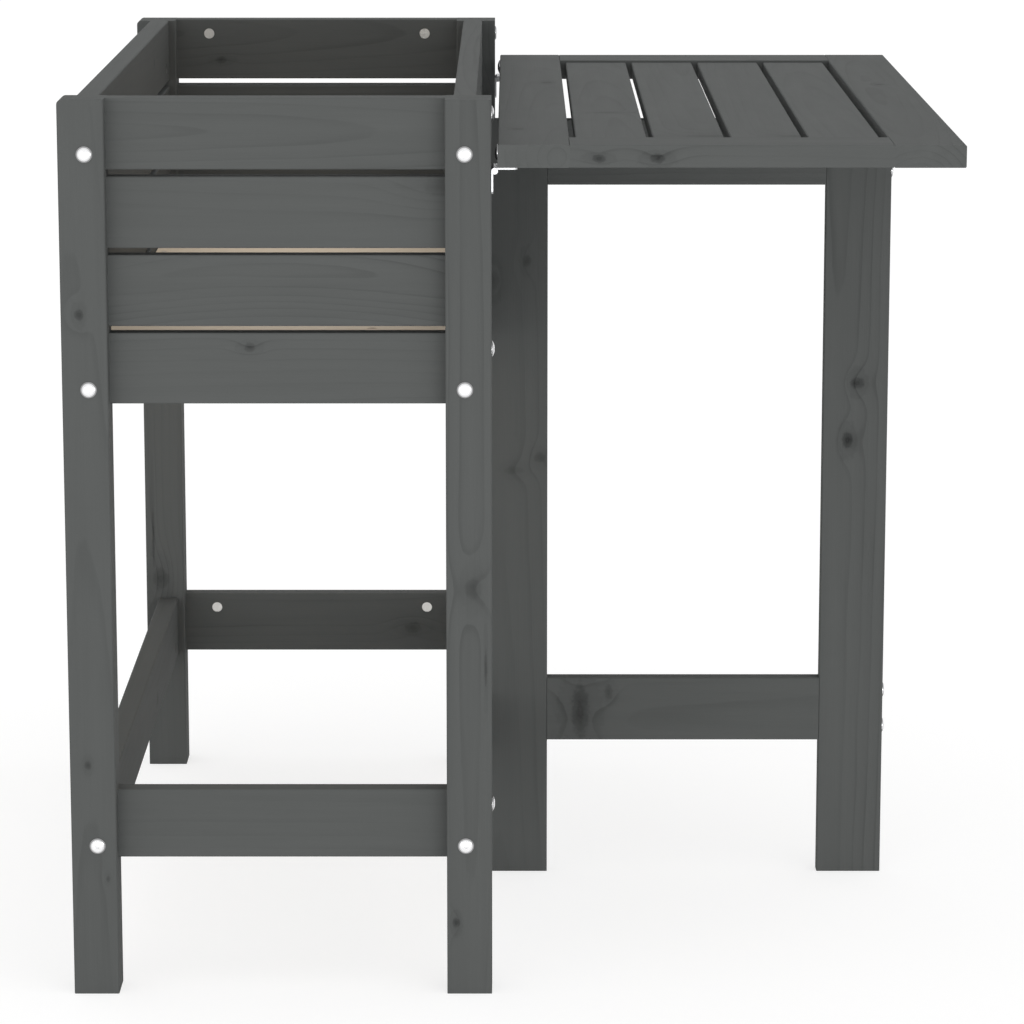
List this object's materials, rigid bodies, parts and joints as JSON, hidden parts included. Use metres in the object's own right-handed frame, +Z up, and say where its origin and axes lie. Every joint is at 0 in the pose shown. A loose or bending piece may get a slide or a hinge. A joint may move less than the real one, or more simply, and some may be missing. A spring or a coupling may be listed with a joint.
{
  "type": "planter with folding table",
  "caption": "Raised wooden planter on four posts with a slatted table top hinged to its side and a swing-out gate-leg frame that holds the table up.",
  "frame": {"origin": "on the ground, under the middle of the whole object with its table up", "axes": "+X to the right along the front, from the planter to the table; +Y from the front to the rear; +Z up"},
  "size_m": [0.8858, 0.9558, 0.9],
  "materials": {
    "painted_pine": "satin grey paint, grain and knots showing through",
    "bare_pine": "planed, unpainted",
    "dowel_beech": "plain",
    "zinc_steel": "bright zinc plate"
  },
  "bodies": {
    "planter": {"post_front_left": "painted_pine", "post_front_right": "painted_pine", "post_rear_left": "painted_pine", "post_rear_right": "painted_pine", "front_board_1": "painted_pine", "front_board_2": "painted_pine", "front_board_3": "painted_pine", "front_board_4": "painted_pine", "rear_board_1": "painted_pine", "rear_board_2": "painted_pine", "rear_board_3": "painted_pine", "rear_board_4": "painted_pine", "left_board_1": "painted_pine", "left_board_2": "painted_pine", "left_board_3": "painted_pine", "left_board_4": "painted_pine", "right_board_1": "painted_pine", "right_board_2": "painted_pine", "right_board_3": "painted_pine", "right_board_4": "painted_pine", "front_stretcher": "painted_pine", "rear_stretcher": "painted_pine", "left_stretcher": "painted_pine", "right_stretcher": "painted_pine", "floor_boards": "bare_pine", "floor_batten_left": "bare_pine", "floor_batten_right": "bare_pine", "floor_screws": "zinc_steel", "frame_bolts": "zinc_steel", "frame_barrel_nuts": "zinc_steel", "table_hinge_post_leaves": "zinc_steel", "table_hinge_pins": "zinc_steel", "gate_hinge_planter_leaves": "zinc_steel", "gate_hinge_pins": "zinc_steel", "planter_hinge_screws": "zinc_steel", "frame_dowels": "dowel_beech"},
    "table_top": {"table_hinge_board": "painted_pine", "table_outer_board": "painted_pine", "table_front_rail": "painted_pine", "table_rear_rail": "painted_pine", "table_slat_1": "painted_pine", "table_slat_2": "painted_pine", "table_slat_3": "painted_pine", "table_slat_4": "painted_pine", "table_bolts": "zinc_steel", "table_barrel_nuts": "zinc_steel", "table_hinge_top_leaves": "zinc_steel", "table_hinge_screws": "zinc_steel", "table_dowels": "dowel_beech"},
    "gate_leg": {"gate_inner_leg": "painted_pine", "gate_outer_leg": "painted_pine", "gate_top_rail": "painted_pine", "gate_lower_rail": "painted_pine", "gate_bolts": "zinc_steel", "gate_barrel_nuts": "zinc_steel", "gate_hinge_frame_leaves": "zinc_steel", "gate_hinge_screws": "zinc_steel"}
  },
  "joints": [
    {"name": "gate_swing", "type": "hinge", "parent": "planter", "child": "gate_leg", "pos_m": [-0.0335, -0.0145, 0.185], "axis": [0, 0, 1], "range_deg": [0, 90]},
    {"name": "table_hinge", "type": "hinge", "parent": "planter", "child": "table_top", "pos_m": [-0.0168, 0, 0.8308], "axis": [0, 1, 0], "range_deg": [-6, 0]}
  ]
}
